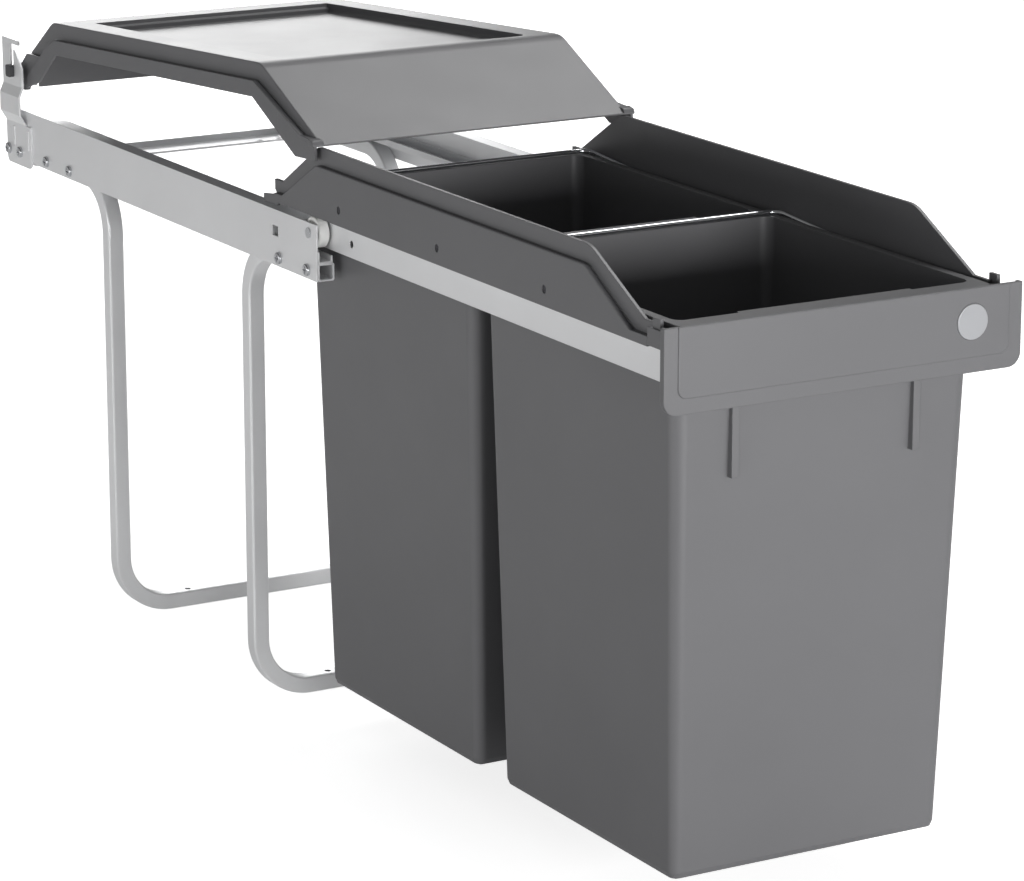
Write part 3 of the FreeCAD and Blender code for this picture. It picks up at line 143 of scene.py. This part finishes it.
def edge_wear_and_highlight_mask(tree, radius):
    """1 on sharp edges within a radius and 0 on flat faces; marks where edges get a painted
    highlight and wear.
    """
    rounded = rounded_normal(tree, radius)
    geometry = tree.nodes.new("ShaderNodeNewGeometry")
    agreement = tree.nodes.new("ShaderNodeVectorMath")
    agreement.operation = "DOT_PRODUCT"
    tree.links.new(rounded, agreement.inputs[0])
    tree.links.new(geometry.outputs["Normal"], agreement.inputs[1])
    return spread(tree, agreement.outputs["Value"], 1.0, 0.0, EDGE_SHARP, EDGE_FLAT)


def rounded_bump(tree, shader, height, distance, edge_radius):
    """Fine relief on top of softly rounded edges."""
    rounded = rounded_normal(tree, edge_radius)
    bump = tree.nodes.new("ShaderNodeBump")
    bump.inputs["Distance"].default_value = distance
    bump.inputs["Strength"].default_value = GRAIN_STRENGTH
    tree.links.new(height, bump.inputs["Height"])
    tree.links.new(rounded, bump.inputs["Normal"])
    tree.links.new(bump.outputs["Normal"], shader.inputs["Normal"])


def clouded_tone(tree, tone, tone_shift):
    """Colour that drifts a little darker and lighter over the piece."""
    darker = tuple(channel * (1 - tone_shift) for channel in tone)
    lighter = tuple(min(1.0, channel * (1 + tone_shift)) for channel in tone)
    clouds = noise(tree, CLOUD_SCALE, CLOUD_DETAIL)
    return mixed_colour(tree, spread(tree, clouds, 0.0, 1.0), darker, lighter)


def edges_lightened_for_wear_and_highlight(tree, base, edge_radius, edge_wear_and_highlight_tone):
    """Colour that goes over to a lighter edge tone on edges, partly a painted highlight and
    partly wear.
    """
    # Lighter edges: a painted highlight along the edges, partly wear
    wear_and_highlight_share = tree.nodes.new("ShaderNodeMath")
    wear_and_highlight_share.operation = "MULTIPLY"
    patches = noise(tree, WEAR_AND_HIGHLIGHT_SCALE, WEAR_AND_HIGHLIGHT_DETAIL)
    tree.links.new(edge_wear_and_highlight_mask(tree, edge_radius), wear_and_highlight_share.inputs[0])
    tree.links.new(spread(tree, patches, WEAR_AND_HIGHLIGHT_LEAST, WEAR_AND_HIGHLIGHT_MOST), wear_and_highlight_share.inputs[1])
    edged = tree.nodes.new("ShaderNodeMix")
    edged.data_type = "RGBA"
    edged.inputs["B"].default_value = (*edge_wear_and_highlight_tone, 1)
    tree.links.new(wear_and_highlight_share.outputs["Value"], edged.inputs["Factor"])
    tree.links.new(base, edged.inputs["A"])
    return edged.outputs["Result"]


def surface(name, tone, tone_shift, edge_wear_and_highlight_tone, edge_radius, roughness, roughness_shift,
            metallic, grain, grain_depth, stretch=(1, 1, 1)):
    """Finish with cloudy tone, uneven gloss, fine grain and edges painted lighter, partly as a
    painted highlight and partly as wear.
    """
    material, tree, shader = new_material(name)
    base = clouded_tone(tree, tone, tone_shift)
    tree.links.new(edges_lightened_for_wear_and_highlight(tree, base, edge_radius, edge_wear_and_highlight_tone), shader.inputs["Base Color"])
    smudges = noise(tree, SMUDGE_SCALE, SMUDGE_DETAIL, stretch)
    rough = spread(tree, smudges, roughness - roughness_shift, roughness + roughness_shift)
    tree.links.new(rough, shader.inputs["Roughness"])
    shader.inputs["Metallic"].default_value = metallic
    relief = noise(tree, grain, GRAIN_DETAIL, stretch)
    rounded_bump(tree, shader, relief, grain_depth, edge_radius)
    return material


# Each finish's edge tone is lighter than its tone: a painted edge highlight, partly wear
def satin_moulding():
    """Anthracite moulded plastic with a fine spark-eroded grain."""
    return surface(
        "satin_moulding", tone=(0.138, 0.138, 0.144), tone_shift=0.03,
        edge_wear_and_highlight_tone=(0.15, 0.15, 0.155), edge_radius=0.0008,
        roughness=0.42, roughness_shift=0.015, metallic=0.0, grain=1900.0, grain_depth=0.00005)


def silver_coating():
    """Satin silver lacquer on formed steel."""
    return surface(
        "silver_coating", tone=(0.84, 0.845, 0.855), tone_shift=0.03,
        edge_wear_and_highlight_tone=(0.92, 0.925, 0.935), edge_radius=0.0006,
        roughness=0.38, roughness_shift=0.05, metallic=0.35, grain=2600.0, grain_depth=0.00003)


def zinc_plate():
    """Plated screws and axles."""
    return surface(
        "zinc_plate", tone=(0.60, 0.61, 0.63), tone_shift=0.08,
        edge_wear_and_highlight_tone=(0.80, 0.80, 0.82), edge_radius=0.0003,
        roughness=0.28, roughness_shift=0.08, metallic=1.0, grain=3000.0, grain_depth=0.00003)


def bright_wire():
    """Bright plated steel wire with faint drawing marks."""
    return surface(
        "bright_wire", tone=(0.74, 0.75, 0.77), tone_shift=0.05,
        edge_wear_and_highlight_tone=(0.90, 0.90, 0.92), edge_radius=0.0003,
        roughness=0.16, roughness_shift=0.05, metallic=1.0, grain=900.0, grain_depth=0.00002,
        stretch=(1, 0.08, 1))


def roller_plastic():
    """White running rollers."""
    return surface(
        "roller_plastic", tone=(0.92, 0.92, 0.90), tone_shift=0.03,
        edge_wear_and_highlight_tone=(0.95, 0.95, 0.93), edge_radius=0.0005,
        roughness=0.38, roughness_shift=0.05, metallic=0.0, grain=1500.0, grain_depth=0.00004)


def bush_plastic():
    """Dark hinge bushes."""
    return surface(
        "bush_plastic", tone=(0.045, 0.045, 0.05), tone_shift=0.10,
        edge_wear_and_highlight_tone=(0.11, 0.11, 0.12), edge_radius=0.0005,
        roughness=0.40, roughness_shift=0.06, metallic=0.0, grain=1500.0, grain_depth=0.00005)


def badge_disc():
    """Plain glossy disc in a neutral grey."""
    return surface(
        "badge_disc", tone=(0.36, 0.365, 0.38), tone_shift=0.04,
        edge_wear_and_highlight_tone=(0.60, 0.61, 0.63), edge_radius=0.0005,
        roughness=0.30, roughness_shift=0.04, metallic=0.1, grain=1200.0, grain_depth=0.00002)


def dark_zinc():
    """Small screws coloured near-black."""
    return surface(
        "dark_zinc", tone=(0.10, 0.10, 0.11), tone_shift=0.10,
        edge_wear_and_highlight_tone=(0.22, 0.22, 0.23), edge_radius=0.0002,
        roughness=0.34, roughness_shift=0.06, metallic=0.8, grain=2400.0, grain_depth=0.00003)


# Materials of the frame's own pieces

FINISHES = {
    "silver_coating": silver_coating,
    "zinc_steel": zinc_plate,
    "grey_moulding": satin_moulding,
    "roller_plastic": roller_plastic,
    "bright_wire": bright_wire,
    "dark_zinc": dark_zinc,
    "badge_disc": badge_disc,
    "bush_plastic": bush_plastic,
}


def dress_nodes():
    """Gives every node the finish of its slot in the record."""
    made = {slot: build() for slot, build in FINISHES.items()}
    slots = {part["node"]: part["material_slot"] for part in frame["record"]["subparts"]}
    for name, piece in frame["nodes"].items():
        material = made[slots[name]]
        if not piece.material_slots:
            piece.data.materials.append(material)
        for holder in piece.material_slots:
            holder.material = material


# Floor, light and camera

def seen_directly(tree):
    """1 for camera rays, which show the floor or world itself, else 0."""
    path = tree.nodes.new("ShaderNodeLightPath")
    return path.outputs["Is Camera Ray"]


def make_floor():
    """Pale floor that keeps a soft shadow near the object and turns white far from it."""
    bpy.ops.mesh.primitive_plane_add(size=FLOOR_SIZE, location=(0, 0, FLOOR_LEVEL))
    floor = bpy.context.object
    floor.name = "floor"
    material, tree, shader = new_material("pale_floor")
    shader.inputs["Base Color"].default_value = (FLOOR_TONE, FLOOR_TONE, FLOOR_TONE, 1)
    shader.inputs["Roughness"].default_value = FLOOR_ROUGHNESS
    shader.inputs["Specular IOR Level"].default_value = 0.0
    shader.inputs["Emission Color"].default_value = (1, 1, 1, 1)
    place = tree.nodes.new("ShaderNodeTexCoord")
    reach = tree.nodes.new("ShaderNodeVectorMath")
    reach.operation = "LENGTH"
    tree.links.new(place.outputs["Object"], reach.inputs[0])
    seen = spread(tree, reach.outputs["Value"], FLOOR_GLOW_SEEN, FLOOR_GLOW_FAR,
                  FLOOR_NEAR, FLOOR_WHITE_FROM)
    glow = tree.nodes.new("ShaderNodeMix")
    glow.inputs["A"].default_value = FLOOR_GLOW_CAST
    tree.links.new(seen, glow.inputs["B"])
    tree.links.new(seen_directly(tree), glow.inputs["Factor"])
    tree.links.new(glow.outputs["Result"], shader.inputs["Emission Strength"])
    floor.data.materials.append(material)


def make_world():
    """White surroundings whose own light is soft and stronger near the horizon."""
    world = bpy.data.worlds.new("studio")
    scene.world = world
    world.use_nodes = True
    tree = world.node_tree
    background = tree.nodes["Background"]
    background.inputs["Color"].default_value = (1, 1, 1, 1)
    direction = tree.nodes.new("ShaderNodeTexCoord")
    parts = tree.nodes.new("ShaderNodeSeparateXYZ")
    tree.links.new(direction.outputs["Generated"], parts.inputs["Vector"])
    ambient = spread(tree, parts.outputs["Z"], WORLD_AT_HORIZON, WORLD_OVERHEAD,
                     0.0, WORLD_FADE_TOP)
    strength = tree.nodes.new("ShaderNodeMix")
    strength.inputs["B"].default_value = 1.0
    tree.links.new(seen_directly(tree), strength.inputs["Factor"])
    tree.links.new(ambient, strength.inputs["A"])
    tree.links.new(strength.outputs["Result"], background.inputs["Strength"])


def soft_lamp(name, place, target, width, height, power):
    """Rectangular soft lamp aimed at a point."""
    data = bpy.data.lights.new(name, "AREA")
    data.shape = "RECTANGLE"
    data.size = width
    data.size_y = height
    data.energy = power
    lamp = bpy.data.objects.new(name, data)
    scene.collection.objects.link(lamp)
    lamp.location = place
    lamp.rotation_mode = "QUATERNION"
    lamp.rotation_quaternion = (Vector(target) - Vector(place)).to_track_quat("-Z", "Y")
    lamp.visible_camera = False


def make_camera():
    """Camera at the photograph's place and angle."""
    data = bpy.data.cameras.new("camera")
    data.sensor_width = SENSOR
    data.lens = FOCAL_PIXELS / IMAGE_WIDTH * SENSOR
    data.clip_start = CLIP_START
    data.clip_end = CLIP_END
    camera = bpy.data.objects.new("camera", data)
    scene.collection.objects.link(camera)
    forward = Vector((
        math.sin(CAMERA_TURN) * math.cos(CAMERA_DOWN),
        math.cos(CAMERA_TURN) * math.cos(CAMERA_DOWN),
        -math.sin(CAMERA_DOWN),
    ))
    camera.location = CAMERA_PLACE
    camera.rotation_mode = "QUATERNION"
    camera.rotation_quaternion = forward.to_track_quat("-Z", "Y")
    scene.camera = camera


dress_nodes()
make_floor()
make_world()
for lamp_name, lamp_settings in LAMPS.items():
    soft_lamp(lamp_name, **lamp_settings)
make_camera()
scene.view_settings.view_transform = "Standard"
